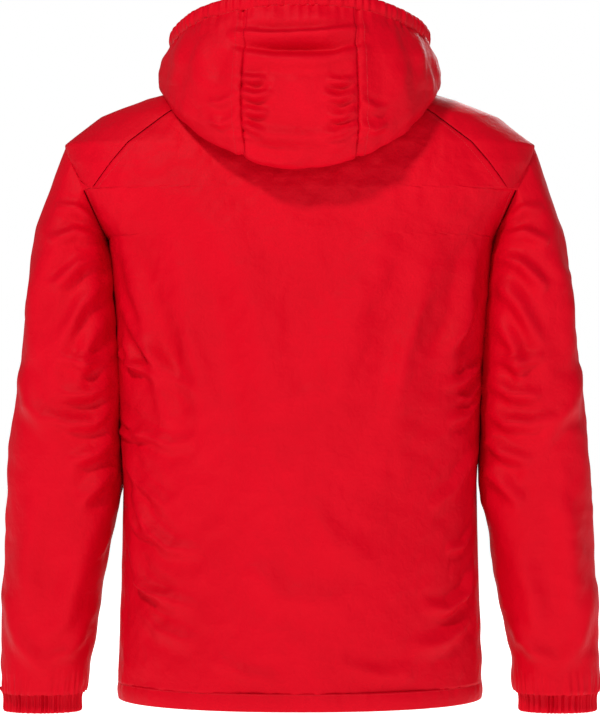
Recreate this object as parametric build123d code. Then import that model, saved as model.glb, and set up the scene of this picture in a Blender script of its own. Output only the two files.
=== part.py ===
"""Hooded padded jacket with raglan sleeves, a full-length front zip and two zipped hand pockets.

Millimetres, +Z up, the front faces -Y, the wearer's left is +X. The origin is the hang loop at
the centre of the back neck. Each piece of cloth is a closed solid of its worn shape, laid out
as a grid of flat facets.
"""
from build123d import *
from math import asin, atan2, cos, pi, radians, sin
import os

# Driving dimensions
BACK_LENGTH = 730          # hang loop down to the hem
HEM_HALF_WIDTH = 218
HEM_HEIGHT = 22            # height of the turned hem casing
NECK_TOP = 6               # neckline above the hang loop
NECK_BACK = 60             # neck centre forward of the hang loop
FRONT_AT_NECK = -104       # centre front, from the neck centre, at the neckline
FRONT_AT_HEM = -146
SHOULDER_X = 279           # outer end of the shoulder, where the sleeve lifts
SHOULDER_Z = -73
ARMPIT_X = 230
ARMPIT_Z = -184
SLEEVE_END = -726
CUFF_BOTTOM = -748
CUFF_X = 309               # centre of the cuff
COLLAR_TOP = 34
ZIP_BOTTOM = -725
CHAIN_HALF_GAP = 5         # half the slot between the front edges
LINING_EDGE = 21           # the wadding and lining stop this far from the centre front
SLIDER_DROP = 12           # closed slider below the top of the chain
POCKET_LENGTH = 165
# Layers of the body and sleeves, as depths below the outer surface
SHELL = (0, 1.5)
WADDING = (2.5, 5.3)
POCKET_BAG = (5.6, 6.8)
LINING = (7.2, 8.2)
HEM_FOLD = (0, 3.2)

SIDES = {"left": 1, "right": -1}
NODES = {}


def keep(name, shape):
    """Files a finished piece under its node name."""
    NODES[name] = shape


def mix(a, b, share):
    """The value or point that lies share of the way from a to b."""
    return a + (b - a) * share


def steps(start, end, count):
    """Evenly spaced values from start to end, count gaps apart."""
    return [mix(start, end, i / count) for i in range(count + 1)]


def facet(a, b, c):
    """One flat triangle."""
    return Face(Wire([Edge.make_line(a, b), Edge.make_line(b, c), Edge.make_line(c, a)]))


def quad(a, b, c, d):
    """Two triangles over four corners."""
    return [facet(a, b, c), facet(a, c, d)]


def layer(grid, normals, depths):
    """A closed sheet between two depths under a grid of surface points, as one solid."""
    near, far = [
        [[p - n * depth for p, n in zip(points, square)] for points, square in zip(grid, normals)]
        for depth in depths
    ]
    faces = []
    last_row = len(grid) - 1
    last = len(grid[0]) - 1
    for i in range(last_row):
        for j in range(last):
            faces += quad(near[i][j], near[i][j + 1], near[i + 1][j + 1], near[i + 1][j])
            faces += quad(far[i][j], far[i + 1][j], far[i + 1][j + 1], far[i][j + 1])
        if (near[i][0] - near[i][last]).length > 0.001:
            faces += quad(near[i][0], near[i + 1][0], far[i + 1][0], far[i][0])
            faces += quad(near[i][last], far[i][last], far[i + 1][last], near[i + 1][last])
    for j in range(last):
        faces += quad(near[0][j], far[0][j], far[0][j + 1], near[0][j + 1])
        faces += quad(near[last_row][j], near[last_row][j + 1], far[last_row][j + 1], far[last_row][j])
    return Solid(Shell(faces))


def normal_of(surface, u, v, du, dv):
    """The outward normal of a surface, from points either side."""
    along = surface(u + du, v) - surface(u - du, v)
    up = surface(u, v + dv) - surface(u, v - dv)
    return along.cross(up).normalized()


def block(x0, x1, y0, y1, z0, z1):
    """A box between two corners."""
    return Pos((x0 + x1) / 2, (y0 + y1) / 2, (z0 + z1) / 2) * Box(x1 - x0, y1 - y0, z1 - z0)


def front_line(z):
    """Centre front is one straight line from the hem to the neckline, so a slider can run on it."""
    return mix(FRONT_AT_NECK, FRONT_AT_HEM, (NECK_TOP - z) / (NECK_TOP + BACK_LENGTH))


# Torso sections from the hem up: height, half width, back depth, squareness (2 is an ellipse)
TORSO = [
    (-BACK_LENGTH, HEM_HALF_WIDTH, 145, 2.2),
    (-BACK_LENGTH + HEM_HEIGHT, 217, 144.5, 2.2),
    (-600, 214, 141, 2.2),
    (-475, 211, 137, 2.3),
    (-300, 221, 133, 2.4),
    (-210, 226, 128, 2.6),
    (ARMPIT_Z, 229, 126, 2.8),
    (-176, 236, 125, 2.9),
    (-162, 244, 123, 3.0),
    (-145, 254, 121, 3.2),
    (-126, 266, 119, 3.4),
    (-95, 276, 112, 3.4),
    (SHOULDER_Z, 279, 106, 3.2),
    (-40, 237, 95, 2.6),
    (-18, 186, 84, 2.3),
    (-4, 135, 73, 2.1),
    (NECK_TOP, 95, 63, 2),
]


def torso_row(z):
    """Half width, front, back and squareness of the torso at height z."""
    above = next((i for i, row in enumerate(TORSO) if row[0] >= z), len(TORSO) - 1)
    above = max(above, 1)
    low, high = TORSO[above - 1], TORSO[above]
    share = (z - low[0]) / (high[0] - low[0])
    half, back, square = [mix(a, b, share) for a, b in zip(low[1:], high[1:])]
    return half, front_line(z), back, square


def torso_point(turn, z):
    """A point of the outer surface: turn is 0 at centre back, a quarter at the wearer's left side."""
    half, front, back, square = torso_row(z)
    across, along = sin(turn), cos(turn)
    reach = (abs(across) ** square + abs(along) ** square) ** (-1 / square)
    deep = back if along > 0 else -front
    return Vector(half * reach * across, deep * reach * along, z)


def torso_normal(turn, z):
    """Outward normal of the torso."""
    return normal_of(torso_point, turn, z, -0.02, 2)


def turn_at(x, z):
    """The turn, in the back quarter, at which the torso is x wide at height z."""
    low, high = 0, pi / 2
    for _ in range(30):
        middle = (low + high) / 2
        if torso_point(middle, z).X < x:
            low = middle
        else:
            high = middle
    return high


# Raglan seam on each side: height against distance from the centre, from the armhole to the neck
RAGLAN = [(-126, 243), (-95, 219), (SHOULDER_Z, 200), (-40, 158), (-18, 126), (-4, 105), (NECK_TOP, 95)]


def armhole_x(z):
    """Where the armhole plane lies at height z."""
    return mix(ARMPIT_X, SHOULDER_X, (z - ARMPIT_Z) / (SHOULDER_Z - ARMPIT_Z)) - 0.8


def panel_edge(z):
    """How far from the centre the back and front panels reach at height z."""
    if z <= ARMPIT_Z:
        return None
    if z <= RAGLAN[0][0]:
        return armhole_x(z)
    seam = dict(RAGLAN)
    return seam[z]


def torso_grid(turns_at, heights):
    """Surface points and normals of the torso, given the turns at each height."""
    grid = [[torso_point(turn, z) for turn in turns_at(z)] for z in heights]
    normals = [[torso_normal(turn, z) for turn in turns_at(z)] for z in heights]
    return grid, normals


HEIGHTS = [row[0] for row in TORSO]
BODY_HEIGHTS = HEIGHTS[1:]


def back_turns(z):
    """Turns across the back, from the wearer's left seam to the right one."""
    edge = panel_edge(z)
    reach = pi / 2 if edge is None else turn_at(edge, z)
    return steps(reach, -reach, 14)


def front_turns(side, gap):
    """Turns across one front, from its outer seam to gap from the centre."""
    def turns(z):
        edge = panel_edge(z)
        reach = pi / 2 if edge is None else turn_at(edge, z)
        inner = asin(CHAIN_HALF_GAP / -front_line(z))
        across = steps(pi - inner, pi - reach, 7)
        across[0] = pi - asin(gap / -front_line(z))
        return across if side > 0 else [-turn for turn in reversed(across)]
    return turns


def pocket_turns(side):
    """Turns across one pocket bag, each above a corner of the panel over it."""
    panel = front_turns(side, LINING_EDGE)
    return lambda z: panel(z)[2:6]


back_grid = torso_grid(back_turns, BODY_HEIGHTS)
keep("back_shell", layer(*back_grid, SHELL))
keep("back_wadding", layer(*back_grid, WADDING))
keep("back_lining", layer(*back_grid, LINING))

# Zip lines: the front one runs up the centre, the pocket ones slant on the front panels
zip_lean = atan2(FRONT_AT_NECK - FRONT_AT_HEM, NECK_TOP + BACK_LENGTH)
front_zip_plane = Plane(
    origin=(0, front_line(COLLAR_TOP), COLLAR_TOP),
    x_dir=(1, 0, 0),
    z_dir=(0, -cos(zip_lean), sin(zip_lean)),
)
FRONT_CHAIN = (COLLAR_TOP - ZIP_BOTTOM) / cos(zip_lean)


def pocket_plane(side):
    """The plane of one pocket's zip, its origin at the top end of the chain."""
    top = torso_point(side * radians(131), -480)
    bottom = torso_point(side * radians(127), -480 - POCKET_LENGTH)
    up = (top - bottom).normalized()
    out = torso_normal(side * radians(129), -560)
    out = (out - up * out.dot(up)).normalized()
    return Plane(origin=top + out, x_dir=up.cross(out), z_dir=out)


pocket_planes = {name: pocket_plane(side) for name, side in SIDES.items()}


def pocket_slot(plane):
    """The cut through the front for one pocket's mouth."""
    return plane * Pos(0, -POCKET_LENGTH / 2, -1) * Box(17.6, POCKET_LENGTH + 8, 14)


for name, side in SIDES.items():
    shell_grid = torso_grid(front_turns(side, CHAIN_HALF_GAP), BODY_HEIGHTS)
    inner_grid = torso_grid(front_turns(side, LINING_EDGE), BODY_HEIGHTS)
    slot = pocket_slot(pocket_planes[name])
    keep(f"front_shell_{name}", layer(*shell_grid, SHELL) - slot)
    keep(f"front_wadding_{name}", layer(*inner_grid, WADDING) - slot)
    keep(f"front_lining_{name}", layer(*inner_grid, LINING))
    keep(f"pocket_bag_{name}", layer(*torso_grid(pocket_turns(side), BODY_HEIGHTS[:3]), POCKET_BAG) - slot)


def cap_grid(side):
    """The shoulder end of a raglan sleeve, from the armhole up to the neck."""
    grid, normals = [], []
    ridge = [SHOULDER_Z, SHOULDER_Z + 0.5, -60, -34, -16, -3.5]
    for (seam_z, seam_x), ridge_z in zip(RAGLAN, ridge):
        points, square = [], []
        for share in steps(-1, 1, 8):
            z = mix(ridge_z, seam_z, abs(share))
            start = turn_at(seam_x, seam_z)
            turn = mix(pi / 2, start, -share) if share < 0 else mix(pi / 2, pi - start, share)
            turn = side * turn
            points.append(torso_point(turn, z))
            square.append(torso_normal(turn, z))
        if side > 0:
            points.reverse()
            square.reverse()
        grid.append(points)
        normals.append(square)
    return grid, normals


# The rest of the sleeve starts just past the armhole plane, so the cap is trimmed there
armhole_out = Vector(SHOULDER_Z - ARMPIT_Z, 0, ARMPIT_X - SHOULDER_X).normalized()
for name, side in SIDES.items():
    trim = Plane(
        origin=(side * (ARMPIT_X - 0.4), 0, ARMPIT_Z),
        x_dir=(0, 1, 0),
        z_dir=(side * armhole_out.X, 0, armhole_out.Z),
    )
    beyond = trim * Pos(0, 0, 50) * Box(400, 400, 100)
    keep(f"raglan_cap_{name}", layer(*cap_grid(side), SHELL) - beyond)


def whole_turns(z):
    """Turns round the hem from one edge of the front to the other."""
    inner = asin(CHAIN_HALF_GAP / -front_line(z))
    return steps(pi - inner, inner - pi, 28)


# Hem: the shell turned up into a flat casing, open at the centre front
keep("hem_casing", layer(*torso_grid(whole_turns, [-BACK_LENGTH, HEM_HEIGHT - BACK_LENGTH - 0.2]), HEM_FOLD))


def oval_band(centre, half, deep, z0, z1, depths, start=0, end=360, gaps=24):
    """An upright oval band, from one angle to another; 0 is the +X side."""
    def point(turn, z):
        return Vector(centre[0] + half * cos(turn), centre[1] + deep * sin(turn), z)
    turns = steps(radians(start), radians(end), gaps)
    grid = [[point(turn, z) for turn in turns] for z in (z0, z1)]
    normals = [[normal_of(point, turn, z, 0.02, 1) for turn in turns] for z in (z0, z1)]
    return layer(grid, normals, depths)


# Collar: the hood's front ends, standing inside the neckline and meeting at the zip
collar_turn = 90 - 3.6
keep("collar_left", oval_band((0, -18), 80, 83, -4, COLLAR_TOP, (0, 3), -collar_turn, 10, 10))
keep("collar_right", oval_band((0, -18), 80, 83, -4, COLLAR_TOP, (0, 3), 170, 180 + collar_turn, 10))

# Neck tape over the neck seam, and the hang loop standing off it at the origin
keep("neck_tape", oval_band((0, -18), 79, 76, -9, 3, (0, 0.8), 50, 130, 8))
loop = Ellipse(22, 12) - Ellipse(20.4, 10.4)
loop = extrude(loop, amount=5) & block(-30, 30, 0, 30, 0, 10)
feet = [block(x - 0.8, x + 0.8, -6, 0, 0, 5) for x in (-21.2, 21.2)]
foot_bar = block(-22, 22, -9, -6, 0, 5)
keep("hang_loop", Pos(0, NECK_BACK - 5, -10.4) * Rot(90, 0, 0) * (loop + feet + foot_bar))


def chain_side(plane, length, side, tape_width):
    """One tape and its row of teeth."""
    tape = plane * Pos(side * (3.2 + tape_width / 2), -length / 2, -2.3) * Box(tape_width, length, 0.6)
    teeth = plane * Pos(side * 1.9, -length / 2, -0.6) * Box(2.2, length - 5, 2.8)
    return tape, teeth


def slider_of(plane, drop):
    """A zip slider astride the chain, drop below the plane's origin, with an arch for its puller."""
    front = Pos(0, 0, 1.7) * Box(9.2, 13, 1.2)
    rear = Pos(0, 0, -3.45) * Box(9.2, 11, 1.1)
    post = Pos(0, 3, -0.9) * Box(0.8, 4, 5)
    cheeks = [Pos(x, 0, -0.3) * Box(1, 9, 2.8) for x in (-3.9, 3.9)]
    legs = [Pos(0, y, 3.7) * Box(2.6, 1.3, 3) for y in (-3, 3)]
    arch = Pos(0, 0, 5.6) * Box(2.6, 7.3, 0.9)
    body = front + rear + post + cheeks + legs + arch
    return plane * Pos(0, -drop, 0) * body


def puller_of(plane, drop):
    """The tab that hangs from the slider's arch, turning on its round cross bar."""
    bar = Pos(0, 0, 3.8) * Rot(0, 90, 0) * Cylinder(0.6, 6.2)
    arms = [Pos(x, -4, 3.8) * Box(1, 9, 1.2) for x in (-2.6, 2.6)]
    tab = Pos(0, -20, 3.8) * Box(7, 24, 1.4)
    return plane * Pos(0, -drop, 0) * (bar + arms + tab)


# Front zip, its stops, the flap behind it and the guard over its top end
for name, side in SIDES.items():
    tape, teeth = chain_side(front_zip_plane, FRONT_CHAIN, side, 12)
    keep(f"front_zip_tape_{name}", tape)
    keep(f"front_zip_teeth_{name}", teeth)
keep("front_zip_slider", slider_of(front_zip_plane, SLIDER_DROP))
keep("front_zip_puller", puller_of(front_zip_plane, SLIDER_DROP))
top_stops = [Pos(x, -1, -0.6) * Box(2.2, 2, 3.2) for x in (-1.9, 1.9)]
keep("front_zip_top_stops", front_zip_plane * Compound(children=top_stops))
keep("front_zip_bottom_box", front_zip_plane * Pos(0, 1.6 - FRONT_CHAIN - 3.5, -0.8) * Box(8, 6, 3.4))
keep("wind_flap", front_zip_plane * Pos(0, -FRONT_CHAIN / 2 - 20, -5.2) * Box(38, FRONT_CHAIN - 50, 1))
keep("chin_guard", front_zip_plane * Pos(0, -12, -8.4) * Box(24, 26, 1))

# Hand pockets: welts, chain, slider and puller
for name, side in SIDES.items():
    plane = pocket_planes[name]
    middle = plane * Pos(0, -POCKET_LENGTH / 2, 0)
    keep(f"pocket_welts_{name}", Compound(children=[
        middle * Pos(x, 0, 0) * Box(3.2, POCKET_LENGTH + 6, 1.8) for x in (-6.9, 6.9)]))
    keep(f"pocket_zip_tapes_{name}", Compound(children=[
        middle * Pos(x, 0, -2.3) * Box(5, POCKET_LENGTH, 0.6) for x in (-5.8, 5.8)]))
    keep(f"pocket_zip_teeth_{name}", Compound(children=[
        middle * Pos(x, 0, -0.6) * Box(2.2, POCKET_LENGTH - 2, 2.8) for x in (-1.9, 1.9)]))
    keep(f"pocket_zip_slider_{name}", slider_of(plane, 9))
    keep(f"pocket_zip_puller_{name}", puller_of(plane, 9))

# Sleeve sections from the wrist up to the armhole: inner point, outer point, half depth
SLEEVE = [
    ((256, SLEEVE_END), (358, SLEEVE_END), 44),
    ((236.5, -600), (356, -600), 56),
    ((214.5, -475), (349, -475), 64),
    ((225, -300), (336, -300), 76),
    ((231, -210), (320, -200), 80),
    ((231.2, -192), (305, -122), 80),
    ((ARMPIT_X + 0.6, ARMPIT_Z), (SHOULDER_X + 0.4, SHOULDER_Z - 0.4), 72),
]


def sleeve_grid(side):
    """Points and normals round a sleeve, row by row."""
    turns = steps(0, 2 * pi, 20)[:-1]

    def point(turn, row):
        low = min(int(row), len(SLEEVE) - 2)
        inner, outer, deep = [
            mix(Vector(*a), Vector(*b), row - low) if isinstance(a, tuple) else mix(a, b, row - low)
            for a, b in zip(SLEEVE[low], SLEEVE[low + 1])
        ]
        centre, reach = (inner + outer) * 0.5, (outer - inner) * 0.5
        x, z = centre.X + reach.X * cos(turn), centre.Y + reach.Y * cos(turn)
        return Vector(side * x, deep * sin(turn), z)

    rows = range(len(SLEEVE))
    grid = [[point(turn, row) for turn in turns] for row in rows]
    normals = [[normal_of(point, turn, row, side * 0.02, 0.01) for turn in turns] for row in rows]
    plane_normal = Vector(side * (ARMPIT_Z - SHOULDER_Z), 0, SHOULDER_X - ARMPIT_X).normalized()
    normals[-1] = [(n - plane_normal * n.dot(plane_normal)).normalized() for n in normals[-1]]
    normals[0] = [Vector(n.X, n.Y, 0).normalized() for n in normals[0]]
    if side < 0:
        grid = [points[::-1] for points in grid]
        normals = [points[::-1] for points in normals]
    return [points + points[:1] for points in grid], [points + points[:1] for points in normals]


for name, side in SIDES.items():
    grid, normals = sleeve_grid(side)
    keep(f"sleeve_shell_{name}", layer(grid, normals, SHELL))
    keep(f"sleeve_wadding_{name}", layer(grid, normals, WADDING))
    keep(f"sleeve_lining_{name}", layer(grid, normals, LINING))
    centre = (side * CUFF_X, 0)
    top = SLEEVE_END - 0.3
    casing = oval_band(centre, 46, 30, CUFF_BOTTOM, top, (0, 6))
    keep(f"cuff_{name}", casing - oval_band(centre, 46, 30, CUFF_BOTTOM + 2, top - 2, (1.5, 4.5)))
    keep(f"cuff_elastic_{name}", oval_band(centre, 46, 30, CUFF_BOTTOM + 2.4, top - 2.4, (1.8, 4.2)))

# Hood, lowered: a bowl of cloth behind the neck, open at the top and round the neck.
# Rows from the neck seam, under and out to the lowest fold, then up to the opening:
# half width, depth, height at the sides, height at the back
HOOD = [
    (88, 70, 10, 9),
    (124, 100, 4, -40),
    (158, 150, -4, -112),
    (168, 184, 8, -78),
    (169, 190, 20, -28),
    (163, 184, 30, 26),
    (157, 172, 38, 66),
    (154, 167, 42, 83),
]
HOOD_ROWS = len(HOOD) - 1
HOOD_SQUARE = 2.6
BACK_GAP = 6               # between the lowered hood and the shoulders
HOOD_CLOTH = (0, 2.2)
HOOD_LINING = (2.6, 3.6)


def shoulder_height(x, y):
    """Height of the torso's upper surface above a point of the plan."""
    low, high = -110, NECK_TOP
    for _ in range(25):
        middle = (low + high) / 2
        half, _, back, square = torso_row(middle)
        if (abs(x) / half) ** square + (max(y, 0) / back) ** square > 1:
            high = middle
        else:
            low = middle
    return low


def hood_point(turn, row):
    """A point of the bowl: turn is 0 at the back, a quarter at the wearer's left."""
    low = max(0, min(int(row), HOOD_ROWS - 1))
    half, deep, side_z, back_z = [mix(a, b, row - low) for a, b in zip(HOOD[low], HOOD[low + 1])]
    across, along = sin(turn), cos(turn)
    square = HOOD_SQUARE if row > 0.9 else 2
    reach = (abs(across) ** square + abs(along) ** square) ** (-1 / square)
    x, y = half * reach * across, deep * reach * along
    z = mix(side_z, back_z, max(along, 0) ** 1.5)
    if 0 < row <= 2:
        z = max(z, shoulder_height(x, y) + BACK_GAP + HOOD_LINING[1])
    return Vector(x, y, z)


def hood_grid(turns, rows):
    """Points and normals of part of the bowl."""
    grid = [[hood_point(turn, row) for turn in turns] for row in rows]
    normals = []
    for i, points in enumerate(grid):
        square = []
        for j, _ in enumerate(points):
            along = points[min(j + 1, len(points) - 1)] - points[max(j - 1, 0)]
            up = grid[min(i + 1, len(grid) - 1)][j] - grid[max(i - 1, 0)][j]
            square.append(up.cross(along).normalized())
        normals.append(square)
    return grid, normals


LAST_TURN = radians(88)
full_turns = steps(-LAST_TURN, LAST_TURN, 18)
grid, normals = hood_grid(full_turns, range(HOOD_ROWS))
keep("hood_centre_panel", layer([p[6:13] for p in grid], [n[6:13] for n in normals], HOOD_CLOTH))
keep("hood_side_right", layer([p[:7] for p in grid], [n[:7] for n in normals], HOOD_CLOTH))
keep("hood_side_left", layer([p[12:] for p in grid], [n[12:] for n in normals], HOOD_CLOTH))
keep("hood_lining", layer(grid, normals, HOOD_LINING))
casing = layer(*hood_grid(full_turns, [6.03, 7]), (-1, 4.4))
keep("hood_edge_casing", casing - layer(*hood_grid(full_turns, [6.2, 6.85]), (0.5, 3.1)))
keep("hood_elastic", layer(*hood_grid(full_turns, [6.24, 6.81]), (0.8, 2.8)))

os.makedirs("parts", exist_ok=True)
for name, shape in NODES.items():
    placed = Pos(0, -NECK_BACK, 0) * shape
    placed.label = name
    export_step(placed, f"parts/{name}.step")
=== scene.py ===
import bpy
import math
import numpy as np
from mathutils import Matrix


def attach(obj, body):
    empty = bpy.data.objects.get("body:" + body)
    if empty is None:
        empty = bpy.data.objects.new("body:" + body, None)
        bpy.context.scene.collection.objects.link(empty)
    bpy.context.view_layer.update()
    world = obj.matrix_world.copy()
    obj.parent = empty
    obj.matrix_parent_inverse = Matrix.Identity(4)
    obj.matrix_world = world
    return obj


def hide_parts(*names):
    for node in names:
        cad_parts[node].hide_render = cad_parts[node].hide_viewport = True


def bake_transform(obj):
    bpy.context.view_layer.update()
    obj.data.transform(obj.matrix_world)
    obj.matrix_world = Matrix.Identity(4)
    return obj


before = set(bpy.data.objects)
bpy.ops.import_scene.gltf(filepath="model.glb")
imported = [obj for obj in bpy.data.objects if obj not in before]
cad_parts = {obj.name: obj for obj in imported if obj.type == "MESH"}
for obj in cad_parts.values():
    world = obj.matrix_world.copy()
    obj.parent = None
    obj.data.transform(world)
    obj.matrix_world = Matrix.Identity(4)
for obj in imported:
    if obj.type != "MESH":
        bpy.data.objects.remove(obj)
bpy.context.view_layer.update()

# ------ the cutter's block
# The body of the jacket as a pattern cutter's form: level sections from the hem to the
# neckline, in millimetres from the hang loop, with the depth counted from the neck's centre.
MM = 0.001
NECK_CENTRE = -60
HEM_Z = -730
NECK_Z = 6
# depth of the front at the neckline and at the hem, and half the gap left in it for the zip
NECK_DEPTH = 104
HEM_DEPTH = 146
ZIP_GAP = 5.4
SIDE = {"left": 1, "right": -1}
# height, half width, back depth, squareness of the section
BODY_SECTIONS = np.array([
    (-730, 218, 145, 2.2),
    (-600, 214, 141, 2.2),
    (-475, 212, 137, 2.3),
    (-300, 221, 133, 2.4),
    (-210, 226, 128, 2.6),
    (-184, 229, 126, 2.8),
    (-162, 244, 123, 3),
    (-145, 254, 121, 3.2),
    (-126, 266, 119, 3.4),
    (-95, 276, 112, 3.4),
    (-73, 279, 106, 3.2),
    (-40, 237, 95, 2.6),
    (-18, 186, 84, 2.3),
    (-4, 135, 73, 2.1),
    (6, 95, 63, 2),
])
# the lowest and the highest point of the armhole: distance from the centre, and height
ARMPIT = (229.5, -184)
SHOULDER = (278.5, -73)
ARMPIT_Z = ARMPIT[1]


def body_section(z):
    """Half width, front depth, back depth and squareness at heights z."""
    heights = BODY_SECTIONS[:, 0]
    half, back, square = [np.interp(z, heights, BODY_SECTIONS[:, i]) for i in (1, 2, 3)]
    front = NECK_DEPTH + (HEM_DEPTH - NECK_DEPTH) * (NECK_Z - z) / (NECK_Z - HEM_Z)
    return half, front, back, square


def body_point(turn, z):
    """Points of the body: turn 0 at centre back, a quarter turn at the wearer's left side."""
    half, front, back, square = body_section(z)
    across, along = np.sin(turn), np.cos(turn)
    reach = (np.abs(across) ** square + np.abs(along) ** square) ** (-1 / square)
    deep = np.where(along > 0, back, front)
    return np.stack([half * reach * across, deep * reach * along, z + 0 * reach], axis=-1)


def body_grid(turns, heights):
    """A grid of the body's points, from turns across it and a row of heights up it."""
    return body_point(turns, np.repeat(heights[:, None], turns.shape[-1], 1))


def body_turn(x, z):
    """The turn in the back quarter where the body is x from the centre at height z."""
    low, high = np.zeros_like(z), np.full_like(z, math.pi / 2)
    for _ in range(30):
        middle = (low + high) / 2
        short = body_point(middle, z)[..., 0] < x
        low, high = np.where(short, middle, low), np.where(short, high, middle)
    return high


def armhole_x(z):
    """Where the plane of the armhole lies at height z."""
    return ARMPIT[0] + (SHOULDER[0] - ARMPIT[0]) * (z - ARMPIT[1]) / (SHOULDER[1] - ARMPIT[1])


def armhole_height(turn):
    """Height of the armhole at a turn round it: 0 at the shoulder, half a turn at the armpit."""
    return ARMPIT[1] + (SHOULDER[1] - ARMPIT[1]) * (1 + np.cos(turn)) / 2


def grid_normals(points, closed=False):
    """Unit normals of a grid of points, square to the ways along its rows and its columns."""
    if closed:
        along = np.roll(points, -1, 1) - np.roll(points, 1, 1)
    else:
        along = np.gradient(points, axis=1)
    normals = np.cross(along, np.gradient(points, axis=0))
    length = np.linalg.norm(normals, axis=-1, keepdims=True)
    return normals / np.maximum(length, 1e-6)


def outward_normals(points, place, axis, closed=False):
    """The same, all turned over if the one at a place, a row and a column, points down an axis."""
    normals = grid_normals(points, closed)
    return -normals if normals[place][axis] < 0 else normals


def on_side(points, side):
    """A grid of the left side, or the same on the right one with its columns turned round."""
    return points if side > 0 else points[:, ::-1] * (-1, 1, 1)


def spread(values, count):
    """A row of evenly placed samples along a list of values."""
    return np.interp(np.linspace(0, len(values) - 1, count), np.arange(len(values)), values)


# what the widths and the heights of all folds are multiplied by
FOLD_WIDTH = 0.74
FOLD_DEPTH = 2.5


def crease(points, strokes):
    """How far folds lift the cloth at each point. A stroke is a line of places on the cloth,
    with its width and its height; it sinks away to nothing at both ends."""
    lift = np.zeros(points.shape[:-1])
    for path, width, height in strokes:
        path = np.array(path, float)
        width = width * FOLD_WIDTH
        best = np.full(lift.shape, 1e9)
        taper = np.zeros(lift.shape)
        lengths = np.linalg.norm(np.diff(path, axis=0), axis=1)
        total = lengths.sum()
        run = 0
        for a, b, length in zip(path[:-1], path[1:], lengths):
            step = (b - a) / length
            t = np.clip(((points - a) * step).sum(-1), 0, length)
            gap = np.linalg.norm(points - a - t[..., None] * step, axis=-1)
            nearer = gap < best
            best = np.where(nearer, gap, best)
            done = np.clip((run + t) / total, 0, 1)
            taper = np.where(nearer, np.sin(done * math.pi) ** 0.7, taper)
            run += length
        ridge = np.exp(-(best / width) ** 2) - 0.38 * np.exp(-((best - 1.9 * width) / width) ** 2)
        lift += FOLD_DEPTH * height * taper * ridge
    return lift


def ripple(points, size, seed, sharp=1.0):
    """Soft crumple of one size: sums of waves in seeded directions, mostly from -1 to 1."""
    draw = np.random.default_rng(seed)
    total = np.zeros(points.shape[:-1])
    warp = np.zeros(points.shape[:-1])
    for _ in range(3):
        direction = draw.normal(size=3)
        direction = direction / np.linalg.norm(direction) * 3 / size
        warp += np.sin(points @ direction + draw.uniform(0, 6.28))
    for _ in range(7):
        direction = draw.normal(size=3)
        direction *= draw.uniform(0.7, 1.4) * 6.28 / size / np.linalg.norm(direction)
        wave = np.sin(points @ direction + warp + draw.uniform(0, 6.28))
        total += np.sign(wave) * np.abs(wave) ** sharp
    return total / 4.2


def new_object(name, data):
    """Puts a mesh, a lamp or a camera into the scene."""
    obj = bpy.data.objects.new(name, data)
    bpy.context.collection.objects.link(obj)
    return obj


def mesh_object(name, verts, faces):
    """An object from points in millimetres, with their depth counted from the neck's centre."""
    placed = (np.array(verts) + (0, NECK_CENTRE, 0)) * MM
    mesh = bpy.data.meshes.new(name)
    mesh.from_pydata(placed.tolist(), [], faces)
    return new_object(name, mesh)


# points of a piece that are nearer than this, in metres, are sewn into one
WELD = 0.0002


def cloth_piece(name, grid, closed=False, more=None, wall=0.8):
    """A sewn panel from one grid of points, or two that share an edge, with a wall inwards."""
    grids = [grid] + ([more] if more is not None else [])
    verts, faces = [], []
    for points in grids:
        start = len(verts)
        rows, columns = points.shape[:2]
        verts += points.reshape(-1, 3).tolist()
        ring = columns if closed and points is grid else columns - 1
        for i in range(rows - 1):
            for j in range(ring):
                k = (j + 1) % columns
                a, b = start + i * columns + j, start + i * columns + k
                faces.append((a, b, b + columns, a + columns))
    obj = mesh_object(name, verts, faces)
    bpy.ops.object.select_all(action="DESELECT")
    obj.select_set(True)
    bpy.context.view_layer.objects.active = obj
    bpy.ops.object.mode_set(mode="EDIT")
    bpy.ops.mesh.select_all(action="SELECT")
    bpy.ops.mesh.remove_doubles(threshold=WELD)
    bpy.ops.object.mode_set(mode="OBJECT")
    if wall:
        solid = obj.modifiers.new("wall", "SOLIDIFY")
        solid.thickness = wall * MM
        solid.offset = -1
        bpy.ops.object.modifier_apply(modifier="wall")
    bpy.ops.object.shade_smooth()
    return obj


# ------ outer cloth
# Polyester taffeta: a tight plain weave, calendered so that it has a soft satin shine, and
# crumpled finely by the wadding behind it.
def linear(hex_colour):
    """An sRGB hex colour as linear RGBA."""
    values = [int(hex_colour[i:i + 2], 16) / 255 for i in (0, 2, 4)]
    return [v / 12.92 if v <= 0.04045 else ((v + 0.055) / 1.055) ** 2.4 for v in values] + [1]


def set_inputs(shader, values):
    """Sets the named inputs of a node."""
    for key, value in values.items():
        shader.inputs[key].default_value = value


def node(tree, kind, settings=(), inputs=(), links=()):
    """Adds a shader node with its settings, input values and incoming links."""
    new = tree.nodes.new("ShaderNode" + kind)
    for key, value in dict(settings).items():
        setattr(new, key, value)
    set_inputs(new, dict(inputs))
    for key, socket in dict(links).items():
        tree.links.new(socket, new.inputs[key])
    return new


def blank_material(name):
    """A new material, with its node tree and its shader."""
    material = bpy.data.materials.new(name)
    material.use_nodes = True
    return material, material.node_tree, material.node_tree.nodes["Principled BSDF"]


def object_place(tree):
    """The place on the object itself, which every pattern is laid out by."""
    return node(tree, "TexCoord").outputs["Object"]


def tinted(tree, shader, light, dark, share):
    """Colours a shader between two shades, by a share from another node."""
    mix = node(tree, "Mix", {"data_type": "RGBA"}, {6: linear(dark), 7: linear(light)}, {0: share})
    tree.links.new(mix.outputs[2], shader.inputs["Base Color"])


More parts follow.
